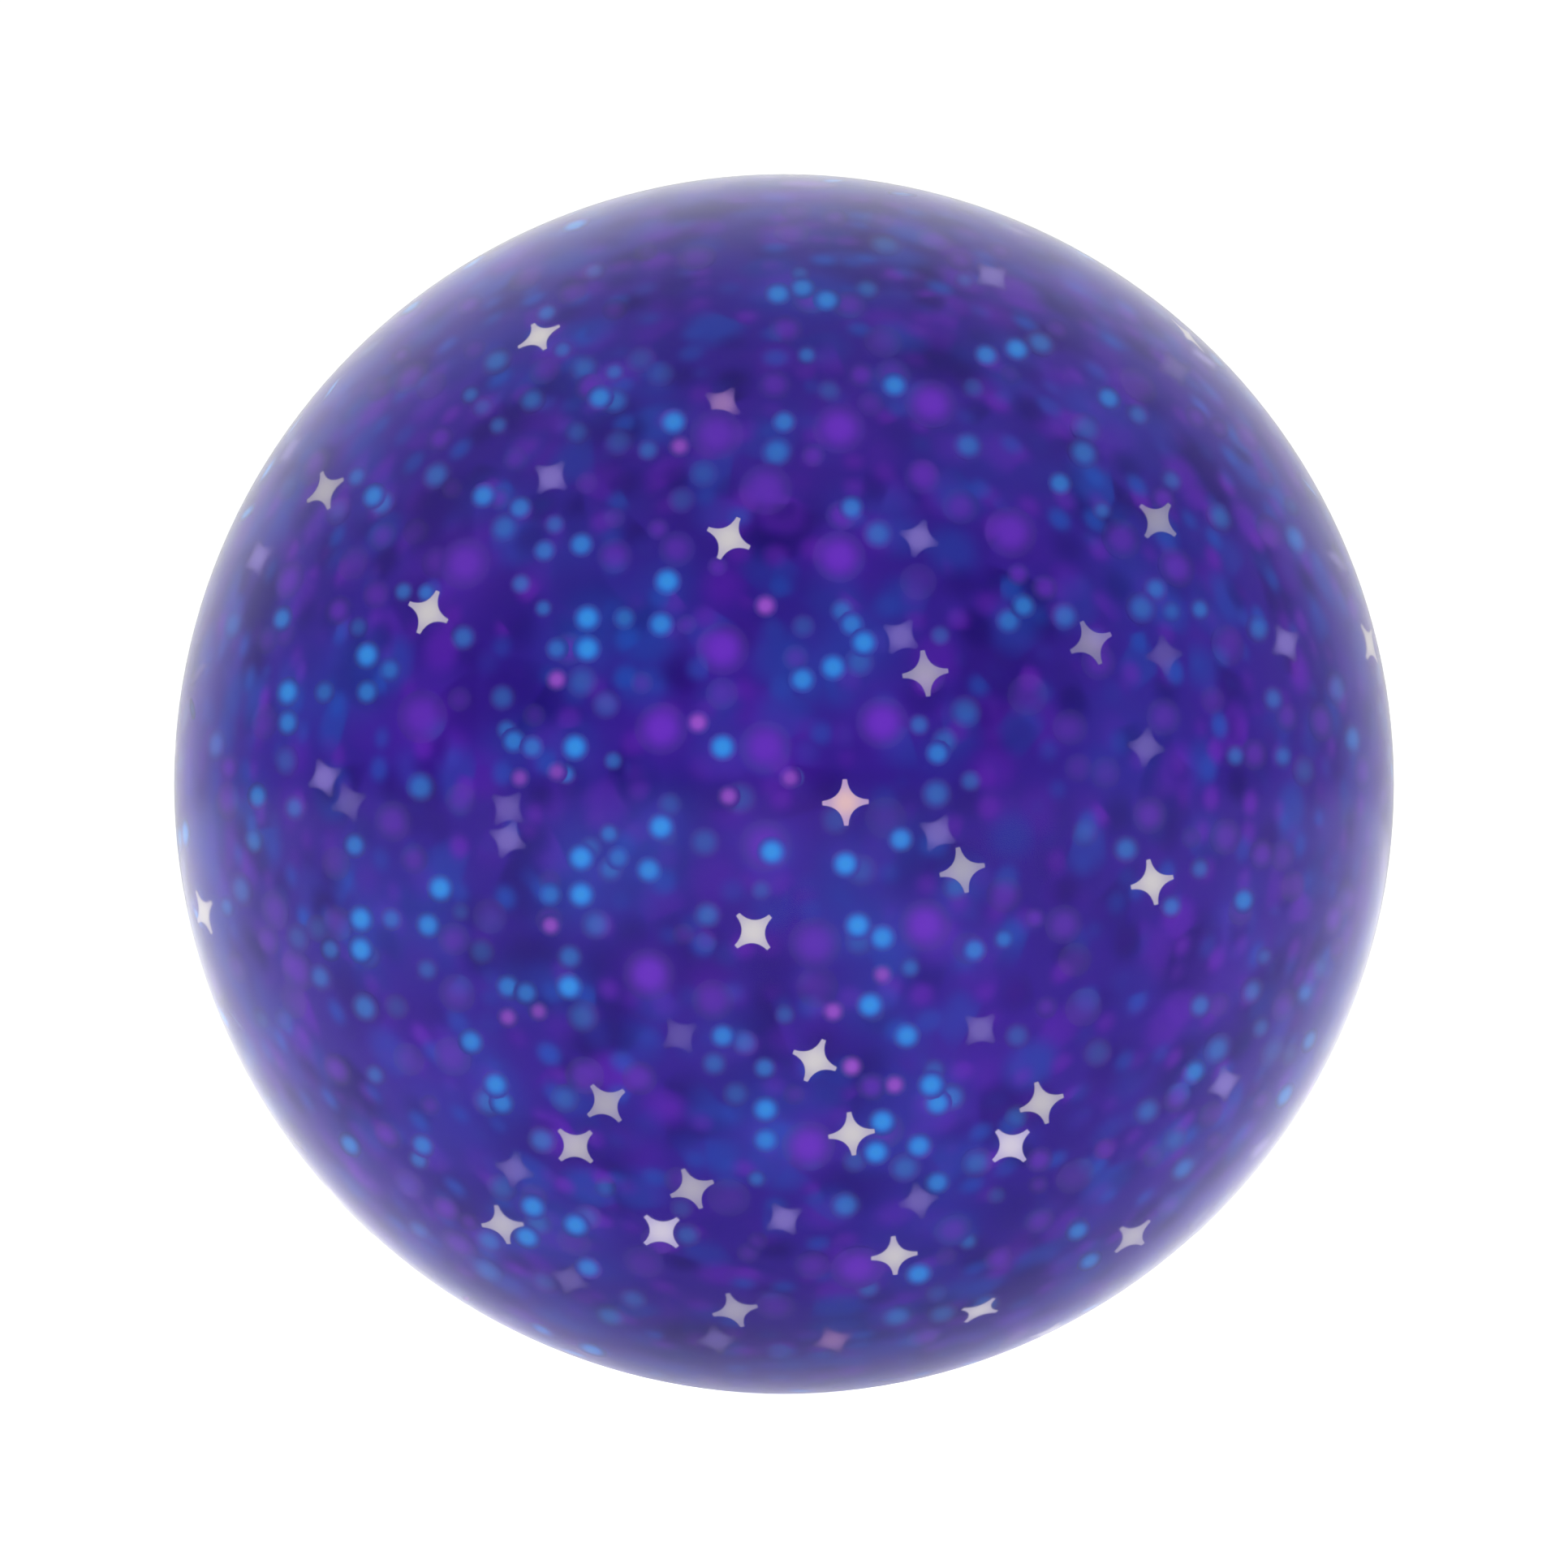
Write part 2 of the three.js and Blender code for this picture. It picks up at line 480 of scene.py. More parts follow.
# The colour of the core: layers of specks in a ground, under three pigments in soft clouds. The
# brighter blue and violet clouds round the dots and discs are a painted glow.
coreSettings = {
    "subdivisions": 7,
    "roughness": 0.6,
    "ground": rgba(0.043, 0.014, 0.345),
    "blue": rgba(0.022, 0.085, 0.56),
    "violet": rgba(0.13, 0.022, 0.60),
    "dark": rgba(0.018, 0.003, 0.23),
    "patchSpread": 2.6 * mm,
    "patchStrength": 0.28,
    # the two glows are painted light: the core's colour is made brighter blue or violet round each
    # film
    "azureGlow": (1.1 * mm, 0.5),  # how far a dot's glow spreads and how strong it is
    "violetGlow": (1.4 * mm, 0.6),
    "patches": {  # where the front shows a cloud: across, up (ball radii)
        "blue": [
            (-0.74, 0.17), (-0.29, 0.26), (-0.22, -0.09), (-0.33, -0.15), (-0.62, -0.22),
            (-0.54, -0.55), (-0.38, -0.73), (-0.03, -0.53), (0.15, -0.23), (0.23, -0.71),
            (0.18, -0.87), (0.09, 0.21), (0.58, 0.33), (0.57, 0.06), (0.55, 0.58),
            (0.31, 0.54), (0.03, 0.81), (-0.47, 0.71), (-0.30, 0.67),
        ],
        "violet": [
            (-0.61, -0.42), (-0.58, 0.09), (-0.53, 0.35), (0.31, -0.42), (0.45, 0.66),
            (-0.03, -0.10), (-0.03, 0.06), (0.71, -0.31),
        ],
        "dark": [
            (0.04, -0.20), (-0.13, -0.19), (0.02, 0.13), (0.12, -0.04), (-0.16, 0.00),
            (-0.69, 0.37), (-0.19, 0.46), (0.02, 0.30), (-0.38, 0.11), (-0.35, -0.26),
            (-0.61, -0.29), (-0.65, -0.58), (0.13, -0.42), (0.29, 0.06), (0.39, -0.19),
            (0.53, -0.37), (0.39, -0.71), (-0.46, 0.58),
        ],
    },
    "patchesBehind": 2,  # clouds at the rear for each one at the front
    "specks": [  # from below: colour, size of a cell, where a speck's fade starts and ends, strength
        (rgba(0.014, 0.002, 0.20), 4.8 * mm, 0.3, 0.8, 1.0),
        (rgba(0.14, 0.016, 0.56), 3.3 * mm, 0.2, 0.65, 0.75),
        (rgba(0.018, 0.070, 0.50), 3.7 * mm, 0.2, 0.65, 0.85),
        (rgba(0.012, 0.002, 0.19), 2.9 * mm, 0.15, 0.6, 0.9),
        (rgba(0.19, 0.022, 0.62), 2.1 * mm, 0.1, 0.55, 0.7),
        (rgba(0.014, 0.13, 0.68), 2.3 * mm, 0.1, 0.5, 0.7),
    ],
    "speckShare": 0.7,  # of a layer's cells that hold a speck
    "batch": 4096,  # how many spots are worked out together
}
pigments = ("blue", "violet", "dark")
# Clouds hold real patches of pigment and also the painted glow round the dots and discs.
clouds = []  # each: its place on the core (x, y, z), spread, strength and which pigment it is


def addCloud(pigment, spot, spread, strength):
    clouds.append((*spot, spread, strength, pigments.index(pigment)))


def planClouds(settings):
    for pigment in pigments:
        patches = settings["patches"][pigment]
        for across, up in patches:
            angle = fromFront(math.hypot(across, up), coreRadius)
            spot = awayFromFront(across, up, angle) * coreRadius
            addCloud(pigment, spot, settings["patchSpread"], settings["patchStrength"])
        for _ in range(settings["patchesBehind"] * len(patches)):
            spot = looseDirection(laySettings["coreLeast"]) * coreRadius
            addCloud(pigment, spot, settings["patchSpread"], settings["patchStrength"])


def pigmentMasks(spots):
    # How much of each pigment shows at each spot, from 0 to 1, the painted glow included.
    spots = spots / np.linalg.norm(spots, axis=1)[:, None]
    table = np.array(clouds, np.float32)
    narrow = (coreRadius / table[:, 3]) ** 2
    sums = np.zeros((len(spots), len(pigments)), np.float32)
    for start in range(0, len(spots), coreSettings["batch"]):
        batch = slice(start, start + coreSettings["batch"])
        near = spots[batch].astype(np.float32) @ (table[:, :3] / coreRadius).T
        shown = np.exp((near - 1) * narrow) * table[:, 4]
        for index in range(len(pigments)):
            sums[batch, index] = shown[:, table[:, 5] == index].sum(1)
    return 1 - np.exp(-sums)


def paint(mesh, spots, alphas):
    # Gives each vertex the clouds' pigments at a spot of the core, and the spot itself.
    spots = spots / np.linalg.norm(spots, axis=1)[:, None] * coreRadius
    masks = mesh.color_attributes.new("clouds", "FLOAT_COLOR", "POINT")
    values = np.hstack([pigmentMasks(spots), alphas.reshape(-1, 1)]).astype(np.float32)
    masks.data.foreach_set("color", values.ravel())
    behind = mesh.attributes.new("behind", "FLOAT_VECTOR", "POINT")
    behind.data.foreach_set("vector", spots.astype(np.float32).ravel())


def makeGroundGroup(settings):
    # The core's colour at a place on it: specks of pigment in the ground, under the clouds.
    group, start, end = newGroup(
        "coreGround",
        [("Place", Vector((0, 0, 0))), ("Clouds", rgba(0, 0, 0))],
        [("Color", "NodeSocketColor")],
    )
    colour = settings["ground"]
    for speckColour, cell, fadeFrom, fadeTo, strength in settings["specks"]:
        cells = addNode(group, "ShaderNodeTexVoronoi", feature="F1")
        setInputs(cells, Scale=1 / cell)
        group.links.new(start.outputs["Place"], cells.inputs["Vector"])
        pick = addNode(group, "ShaderNodeSeparateColor")
        group.links.new(cells.outputs["Color"], pick.inputs["Color"])
        held = mapRange(group, pick.outputs[0], 1 - settings["speckShare"], 1.0, 0.0, strength)
        fade = mapRange(group, cells.outputs["Distance"], fadeFrom, fadeTo, 1.0, 0.0)
        share = addMath(group, "MULTIPLY", held, fade)
        colour = mixColours(group, share, colour, speckColour)
    masks = addNode(group, "ShaderNodeSeparateColor")
    group.links.new(start.outputs["Clouds"], masks.inputs["Color"])
    for index, pigment in reversed(list(enumerate(pigments))):
        colour = mixColours(group, masks.outputs[index], colour, settings[pigment])
    group.links.new(colour, end.inputs["Color"])
    return group


groundGroup = makeGroundGroup(coreSettings)


filmSettings = {
    "tipsFrom": 0.05,  # where a film's middle colour starts to give way, in film widths
    "tipsTo": 0.45,
    "roughness": 0.4,
    "grainScale": 2500,
    "grainStrength": 0.15,
    "grainDistance": 0.03 * mm,
}


def makeFilmGroup(settings):
    # A film's colour: one colour in the middle and one at the tips, melting into the colour of
    # the core behind it where its edge is, and all over where the film is faint.
    group, start, end = newGroup(
        "softFilm",
        [
            ("Middle", rgba(1, 1, 1)),
            ("Tips", rgba(1, 1, 1)),
            ("Soft From", 0.0),
            ("Soft To", 0.5),
        ],
        [("Color", "NodeSocketColor")],
    )
    film = addNode(group, "ShaderNodeUVMap", uv_map="film")
    reach = addNode(group, "ShaderNodeVectorMath", operation="DISTANCE")
    reach.inputs[1].default_value = (0.5, 0.5, 0)  # a film's middle
    group.links.new(film.outputs["UV"], reach.inputs[0])
    tips = mapRange(group, reach.outputs["Value"], settings["tipsFrom"], settings["tipsTo"])
    body = mixColours(group, tips, start.outputs["Middle"], start.outputs["Tips"])
    melt = mapRange(group, reach.outputs["Value"], 0.0, 0.5, 1.0, 0.0)
    group.links.new(start.outputs["Soft From"], melt.node.inputs["From Min"])
    group.links.new(start.outputs["Soft To"], melt.node.inputs["From Max"])
    rim = addNode(group, "ShaderNodeAttribute", attribute_name="rim")
    masks = addNode(group, "ShaderNodeVertexColor", layer_name="clouds")
    behind = addNode(group, "ShaderNodeAttribute", attribute_name="behind")
    ground = addNode(group, "ShaderNodeGroup", node_tree=groundGroup)
    group.links.new(behind.outputs["Vector"], ground.inputs["Place"])
    group.links.new(masks.outputs["Color"], ground.inputs["Clouds"])
    inside = mapRange(group, rim.outputs["Fac"], 0.0, 1.0)
    solid = addMath(group, "MULTIPLY", melt, inside)
    weight = addMath(group, "MULTIPLY", solid, masks.outputs["Alpha"])
    colour = mixColours(group, weight, ground.outputs["Color"], body)
    group.links.new(colour, end.inputs["Color"])
    return group


filmGroup = makeFilmGroup(filmSettings)


def makeCoreRubber(settings):
    material, tree, shader = newMaterial(
        "coreRubber", Roughness=settings["roughness"], Specular_IOR_Level=0.0
    )
    masks = addNode(tree, "ShaderNodeVertexColor", layer_name="clouds")
    place = addNode(tree, "ShaderNodeTexCoord")
    ground = addNode(tree, "ShaderNodeGroup", node_tree=groundGroup)
    tree.links.new(place.outputs["Object"], ground.inputs["Place"])
    tree.links.new(masks.outputs["Color"], ground.inputs["Clouds"])
    tree.links.new(ground.outputs["Color"], shader.inputs["Base Color"])
    return material


def addCore(settings):
    bm = bmesh.new()
    bmesh.ops.create_icosphere(bm, subdivisions=settings["subdivisions"], radius=coreRadius)
    piece = finishPiece(bm, "core_cast", [makeCoreRubber(settings)], ["core"])
    spots = np.empty(len(piece.data.vertices) * 3, np.float32)
    piece.data.vertices.foreach_get("co", spots)
    paint(piece.data, spots.reshape(-1, 3), np.ones(len(spots) // 3))


starSettings = {
    "thickness": 0.08 * mm,
    "upperAcross": 2.85 * mm,
    "lowerAcross": 2.4 * mm,
    "waist": 1.45 * mm,
    "tipWidth": 0.30 * mm,
    "softEdge": 0.05 * mm,  # how far in from its outline a star melts
    "flankSteps": 7,
    "upperShine": {  # how brightly a star shows, where it isn't fully
        4: 0.5, 9: 0.75, 14: 0.75, 15: 0.5, 17: 0.55, 19: 0.6, 20: 0.75,
        21: 0.85, 22: 0.65, 23: 0.7, 24: 0.6, 25: 0.35,
    },
    "lowerShine": {
        3: 0.85, 5: 0.7, 6: 0.4, 8: 0.6, 9: 0.7, 11: 0.75, 12: 0.7, 13: 0.65, 15: 0.7,
    },
    # these two stars get a painted highlight: a lighter, whiter copy of the silver film
    "bright": (12, 13),  # the two upper stars that show almost white
    "ghosts": [  # lower stars past those that the nodes give: across, up, turn, shine
        (-0.71, -0.03, 20, 0.5), (-0.45, -0.04, 50, 0.5), (-0.11, -0.91, 10, 0.8),
        (-0.35, -0.81, 70, 0.6), (-0.17, -0.41, 35, 0.4), (0.64, 0.68, 15, 0.5),
    ],
    "looseUpper": 36,  # tried at the rear
    "looseLower": 50,
    "looseShine": (1.0, 1.0, 0.7, 0.5),
}
discSettings = {
    "thickness": 0.03,  # of its width
    "sides": 24,
    "across": 3.2 * mm,
    "more": [  # discs past those that the nodes give: across, up, shine
        (-0.11, 0.57, 0.7), (0.37, 0.41, 0.8), (-0.03, 0.48, 0.6), (-0.52, 0.36, 0.8),
        (-0.59, 0.11, 0.7), (-0.03, 0.06, 0.8), (-0.03, -0.10, 0.7), (0.05, -0.26, 0.6),
    ],
    "loose": 38,  # tried at the rear
    "looseShine": (0.6, 1.0),
}
dotSettings = {
    "thickness": 0.05,  # of its width
    "sides": 12,
    "azureAcross": 1.9 * mm,
    "pinkAcross": 1.6 * mm,
    "leastShare": 0.7,  # of its full width, for a dot that doesn't shine, and
    "shineShare": 0.3,  # what its shine adds
    "upperLift": 0.95 * mm,  # of a dot's middle above the tinted layer
    "speckLift": 0.6 * mm,  # of a speck's middle above the core
    "speckShine": (0.15, 0.6),
    "azureSpecks": (560, 1.2 * mm, 2.1 * mm),  # tried at the front, least and most width
    "violetSpecks": (360, 1.2 * mm, 2.6 * mm),
    "speckReach": 0.9,  # the front's specks end where their offset squared comes to this
    "azureOffBlue": 0.35,  # how likely an azure speck is where the core isn't blue
    "looseAzure": 190,  # tried at the rear
    "loosePink": 45,
    "looseShine": (1.0, 1.0, 0.8, 0.6, 0.4),
    "looseShare": 1.1,  # specks tried at the rear for each one tried at the front
}

# Each dot: across, up (ball radii, seen from the front) and how bright it shows.
azureViews = [
    (-0.32, 0.27, 1.0), (-0.32, 0.22, 1.0), (-0.19, 0.33, 1.0), (-0.20, 0.26, 0.8),
    (-0.26, 0.27, 0.4), (-0.37, 0.22, 0.4), (-0.34, 0.06, 1.0), (-0.44, 0.07, 0.6),
    (-0.41, 0.06, 0.5), (-0.33, -0.12, 1.0), (-0.33, -0.18, 1.0), (-0.20, -0.07, 1.0),
    (-0.22, -0.14, 0.8), (-0.27, -0.12, 0.4), (-0.38, -0.18, 0.4), (-0.35, -0.33, 1.0),
    (-0.45, -0.33, 0.6), (-0.42, -0.34, 0.5), (-0.69, -0.22, 1.0), (-0.69, -0.27, 1.0),
    (-0.56, -0.17, 1.0), (-0.58, -0.23, 0.8), (-0.64, -0.22, 0.4), (-0.74, -0.27, 0.4),
    (-0.68, 0.21, 1.0), (-0.68, 0.15, 0.6), (-0.81, 0.15, 1.0), (-0.81, 0.10, 0.7),
    (-0.82, 0.27, 0.7), (-0.75, 0.15, 0.4), (-0.10, 0.06, 1.0), (-0.02, -0.11, 1.0),
    (0.10, -0.13, 1.0), (0.19, -0.09, 0.8), (0.12, -0.23, 1.0), (0.16, -0.25, 0.9),
    (-0.10, -0.41, 0.7), (-0.03, -0.53, 0.9), (-0.03, -0.58, 0.7), (0.14, -0.36, 1.0),
    (0.20, -0.41, 0.9), (0.24, -0.49, 1.0), (0.25, -0.52, 0.9), (0.16, -0.55, 1.0),
    (0.15, -0.60, 1.0), (0.22, -0.59, 0.9), (0.25, -0.65, 0.7), (-0.41, -0.69, 1.0),
    (-0.42, -0.74, 1.0), (-0.34, -0.72, 1.0), (-0.32, -0.79, 0.8), (0.22, -0.80, 1.0),
    (-0.51, -0.42, 0.8), (-0.47, -0.49, 0.9), (-0.46, -0.52, 0.7), (-0.71, -0.59, 0.8),
    (-0.59, -0.59, 0.7), (-0.49, 0.47, 0.8), (-0.43, 0.45, 0.6), (-0.67, 0.47, 0.8),
    (-0.18, 0.59, 0.9), (-0.30, 0.63, 0.8), (0.00, 0.59, 0.6), (0.18, 0.65, 0.8),
    (0.38, 0.71, 0.9), (0.33, 0.70, 0.7), (-0.01, 0.80, 0.8), (0.03, 0.81, 0.7),
    (0.07, 0.79, 0.8), (0.53, 0.63, 0.7), (0.13, 0.23, 0.9), (0.11, 0.26, 0.6),
    (0.08, 0.19, 0.9), (0.03, 0.17, 0.8), (0.39, 0.29, 0.6), (0.45, 0.49, 0.6),
    (0.25, 0.05, 0.6), (0.31, -0.27, 0.6), (0.75, -0.19, 0.7), (0.67, -0.47, 0.7),
    (0.82, -0.51, 0.9), (0.86, -0.42, 0.6), (0.48, -0.73, 0.7), (0.50, -0.78, 0.7),
    (0.11, 0.45, 0.6), (-0.33, 0.39, 0.7), (-0.39, 0.38, 0.5), (-0.86, -0.02, 0.7),
    (-0.70, -0.10, 0.6),
]
pinkViews = [
    (-0.37, 0.17, 0.9), (-0.38, -0.23, 0.8), (-0.14, 0.10, 1.0), (-0.03, 0.29, 1.0),
    (-0.09, -0.02, 0.8), (0.01, 0.01, 0.7), (0.08, -0.37, 0.9), (0.11, -0.46, 1.0),
    (0.18, -0.49, 0.9), (-0.17, 0.55, 0.8), (0.16, -0.31, 0.7), (-0.43, 0.01, 0.6),
    (-0.37, 0.02, 0.6), (-0.45, -0.38, 0.7), (-0.40, -0.37, 0.6),
]


def closeFilm(bm, name, thickness, reach):
    # Thickens a flat film and lays it out flat in the map that its material reads.
    grown = bmesh.ops.extrude_face_region(bm, geom=list(bm.faces))
    under = [g for g in grown["geom"] if isinstance(g, bmesh.types.BMVert)]
    bmesh.ops.translate(bm, verts=under, vec=(0, 0, -thickness))
    bmesh.ops.translate(bm, verts=bm.verts, vec=(0, 0, thickness / 2))
    bmesh.ops.recalc_face_normals(bm, faces=bm.faces)
    uv = bm.loops.layers.uv.new("film")
    for face in bm.faces:
        for loop in face.loops:
            spot = loop.vert.co
            loop[uv].uv = (0.5 + spot.x / reach / 2, 0.5 + spot.y / reach / 2)
    mesh = bpy.data.meshes.new(name)
    bm.to_mesh(mesh)
    bm.free()
    return mesh


def cutStar(name, across, settings):
    # A blunt tip and the flank after it, turned three times more and filled. The attribute
    # rim is nought along the outline and one further in.
    bm = bmesh.new()
    rim = bm.verts.layers.float.new("rim")
    tip = across / 2
    half = settings["tipWidth"] / 2
    control = settings["waist"] / math.sqrt(2) - (tip + half) / 2
    spots = [Vector((tip, -half, 0))]
    for i in range(settings["flankSteps"] + 1):
        t = i / settings["flankSteps"]
        ends = Vector((tip, half, 0)) * (1 - t) ** 2 + Vector((half, tip, 0)) * t**2
        spots.append(ends + Vector((control, control, 0)) * 2 * t * (1 - t))
    verts = [bm.verts.new(spot) for spot in spots]
    edges = [bm.edges.new(pair) for pair in zip(verts, verts[1:])]
    bmesh.ops.spin(
        bm,
        geom=verts + edges,
        cent=(0, 0, 0),
        axis=(0, 0, 1),
        dvec=(0, 0, 0),
        angle=1.5 * math.pi,
        steps=3,
        use_duplicate=True,
    )
    bmesh.ops.remove_doubles(bm, verts=bm.verts, dist=mergeReach)
    filled = bmesh.ops.edgeloop_fill(bm, edges=bm.edges)["faces"]
    bmesh.ops.inset_region(
        bm, faces=filled, thickness=settings["softEdge"], use_even_offset=True, use_boundary=True
    )
    centre = bmesh.ops.poke(bm, faces=filled)
    for face in centre["faces"]:
        for vert in face.verts:
            vert[rim] = 1.0
    return closeFilm(bm, name, settings["thickness"], tip)


def cutRound(name, settings):
    # A round film one unit across, whose edge is left for its material to soften.
    bm = bmesh.new()
    rim = bm.verts.layers.float.new("rim")
    bmesh.ops.create_circle(bm, cap_ends=True, radius=0.5, segments=settings["sides"])
    bmesh.ops.poke(bm, faces=bm.faces)
    for vert in bm.verts:
        vert[rim] = 1.0
    return closeFilm(bm, name, settings["thickness"], 0.5)


def layFilms(name, film, places, material, replaced=()):
    # Lays a cut film at each place, and gives its vertices the colour that lies behind them.
    bm = bmesh.new()
    spots = []
    for matrix, shine in places:
        start = len(bm.verts)
        bm.from_mesh(film)
        bm.verts.ensure_lookup_table()
        laid = bm.verts[start:]
        bmesh.ops.transform(bm, matrix=matrix, verts=laid)
        shift = spotBehind(matrix.translation) - matrix.translation
        spots += [(*(v.co + shift), shine) for v in laid]
    piece = finishPiece(bm, name, [material], replaced, smooth=False)
    # A film doesn't shade or tint what lies round it.
    piece.visible_diffuse = False
    piece.visible_shadow = False
    spots = np.array(spots, np.float32)
    paint(piece.data, spots[:, :3], spots[:, 3])
    return piece


def makeFilm(name, middle, tips, softFrom=0.6, softTo=0.8, metal=0.0, specular=0.2):
    roughness = filmSettings["roughness"]
    material, tree, shader = newMaterial(
        name, Roughness=roughness, Metallic=metal, Specular_IOR_Level=specular
    )
    film = addNode(tree, "ShaderNodeGroup", node_tree=filmGroup)
    setInputs(film, Middle=middle, Tips=tips, Soft_From=softFrom, Soft_To=softTo)
    tree.links.new(film.outputs["Color"], shader.inputs["Base Color"])
    grain = addGrain(tree, filmSettings["grainScale"])
    strength, distance = filmSettings["grainStrength"], filmSettings["grainDistance"]
    addGrainBump(tree, shader, grain, strength, distance)
    return material


# First every film gets its place, because the core's clouds carry a painted glow round some of them.
# A place is a frame and how much of the film's own colour shows.
filmPlaces = {}


def planCadFilms():
    shines = {"upper_star": starSettings["upperShine"], "lower_star": starSettings["lowerShine"]}
    for name in sorted(nodes):
        kind, _, number = name.rpartition("_")
        if kind.endswith(("_star", "_disc")):
            shine = shines.get(kind, {}).get(int(number), 1.0)
            filmPlaces[name] = [(cadSeat(name), shine)]


def planStars(settings):
    upperSeat = sum(upperRoom) / 2
    lowerSeat = sum(lowerRoom) / 2
    filmPlaces["ghost_stars_front"] = [
        (
            layFront(x, z, lowerSeat, lowerRoom, settings["lowerAcross"], math.radians(turn)),
            shine,
        )
        for x, z, turn, shine in settings["ghosts"]
    ]
    for name, count, least, seat, room, width in (
        ("stars_rear", "looseUpper", "upperLeast", upperSeat, upperRoom, "upperAcross"),
        ("ghost_stars_rear", "looseLower", "lowerLeast", lowerSeat, lowerRoom, "lowerAcross"),
    ):
        places = []
        for _ in range(settings[count]):
            place = layLoose(laySettings[least], seat, room, settings[width])
            if place:
                places.append((place, chance.choice(settings["looseShine"])))
        filmPlaces[name] = places


def planDiscs(settings):
    seat = sum(lowerRoom) / 2
    width = settings["across"]
    filmPlaces["violet_discs_front"] = [
        (layFront(x, z, seat, lowerRoom, width, size=width), shine)
        for x, z, shine in settings["more"]
    ]
    places = []
    for _ in range(settings["loose"]):
        place = layLoose(laySettings["lowerLeast"], seat, lowerRoom, width, size=width)
        if place:
            places.append((place, chance.uniform(*settings["looseShine"])))
    filmPlaces["violet_discs_rear"] = places


def dotWidth(width, shine):
    return width * (dotSettings["leastShare"] + dotSettings["shineShare"] * shine)


def planDots(settings):
    seat = veilOutside + settings["upperLift"]
    for name, views, width, count in (
        ("azure_dots", azureViews, settings["azureAcross"], settings["looseAzure"]),
        ("pink_dots", pinkViews, settings["pinkAcross"], settings["loosePink"]),
    ):
        places = []
        for x, z, shine in views:
            size = dotWidth(width, shine)
            places.append((layFront(x, z, seat, upperRoom, size, size=size), shine))
        filmPlaces[f"{name}_front"] = places
        places = []
        for _ in range(count):
            shine = chance.choice(settings["looseShine"])
            size = dotWidth(width, shine)
            place = layLoose(laySettings["upperLeast"], seat, upperRoom, size, size=size)
            if place:
                places.append((place, shine))
        filmPlaces[f"{name}_rear"] = places


# Painted glow: the core's colour turns brighter blue round each azure dot and brighter violet round
# each violet disc, standing for light these films would spread.
def planGlows(settings):
    for name, places in filmPlaces.items():
        if name.startswith("azure"):
            pigment, (spread, strength) = "blue", settings["azureGlow"]
        elif name.startswith("violet"):
            pigment, (spread, strength) = "violet", settings["violetGlow"]
        else:
            continue
        for matrix, shine in places:
            addCloud(pigment, spotBehind(matrix.translation), spread, strength * shine)


def planSpecks(settings):
    # Small faint films low in the lower room, the azure ones thickest where the core is blue.
    seat = coreRadius + settings["speckLift"]
    for pigment, spread in (("azure", "azureSpecks"), ("violet", "violetSpecks")):
        count, narrowest, widest = settings[spread]
        places = []
        for _ in range(count):
            offset = math.sqrt(chance.uniform(0, settings["speckReach"]))
            azimuth = chance.uniform(0, 2 * math.pi)
            size = chance.uniform(narrowest, widest)
            shine = chance.uniform(*settings["speckShine"])
            across, up = offset * math.cos(azimuth), offset * math.sin(azimuth)
            centre = awayFromFront(across, up, fromFront(offset, seat)) * seat
            blue = pigmentMasks(np.array([centre], np.float32))[0, 0]
            likely = settings["azureOffBlue"] + blue if pigment == "azure" else 1.0
            if chance.uniform(0, 1) < likely and isFree(centre, size):
                places.append((layFront(across, up, seat, lowerRoom, size, size=size), shine))
        filmPlaces[f"{pigment}_specks_front"] = places
        places = []
        for _ in range(int(count * settings["looseShare"])):
            size = chance.uniform(narrowest, widest)
            shine = chance.uniform(*settings["speckShine"])
            place = layLoose(laySettings["coreLeast"], seat, lowerRoom, size, size=size)
            if place:
                places.append((place, shine))
        filmPlaces[f"{pigment}_specks_rear"] = places


planCadFilms()
planStars(starSettings)
planDiscs(discSettings)
planDots(dotSettings)
planClouds(coreSettings)
planGlows(coreSettings)
planSpecks(dotSettings)
filmCount = sum(len(places) for places in filmPlaces.values())
print("confetti:", filmCount, "films planned,", len(clouds), "clouds")

addCore(coreSettings)
print("core: cast")

upperStar = cutStar("upperStar", starSettings["upperAcross"], starSettings)
lowerStar = cutStar("lowerStar", starSettings["lowerAcross"], starSettings)
roundDisc = cutRound("roundDisc", discSettings)
roundDot = cutRound("roundDot", dotSettings)

silverFilm = makeFilm(
    "silverFilm", rgba(0.88, 0.84, 0.82), rgba(0.66, 0.60, 0.74), metal=0.15, specular=0.5
)
# Painted highlight: a lighter, whiter copy of the silver film for the two stars that catch the
# light.
paintedGlintFilm = makeFilm(
    "paintedGlintSilverFilm", rgba(0.95, 0.88, 1.0), rgba(0.70, 0.62, 0.92), metal=0.1, specular=0.5
)
roseFilm = makeFilm(
    "roseFilm", rgba(1.0, 0.66, 0.66), rgba(0.66, 0.44, 0.74), metal=0.15, specular=0.5
)
ghostFilm = makeFilm(
    "veiledSilverFilm", rgba(0.34, 0.26, 0.80), rgba(0.26, 0.19, 0.70), 0.15, 0.6
)
ghostRoseFilm = makeFilm(
    "veiledRoseFilm", rgba(0.52, 0.28, 0.68), rgba(0.36, 0.18, 0.64), 0.15, 0.6
)
violetFilm = makeFilm(
    "violetFilm", rgba(0.21, 0.028, 0.76), rgba(0.17, 0.022, 0.68), 0.14, 0.5
)
azureFilm = makeFilm("azureFilm", rgba(0.035, 0.37, 1.0), rgba(0.02, 0.24, 0.92), 0.16, 0.5)
pinkFilm = makeFilm("pinkFilm", rgba(0.42, 0.10, 0.74), rgba(0.30, 0.06, 0.66), 0.1, 0.5)

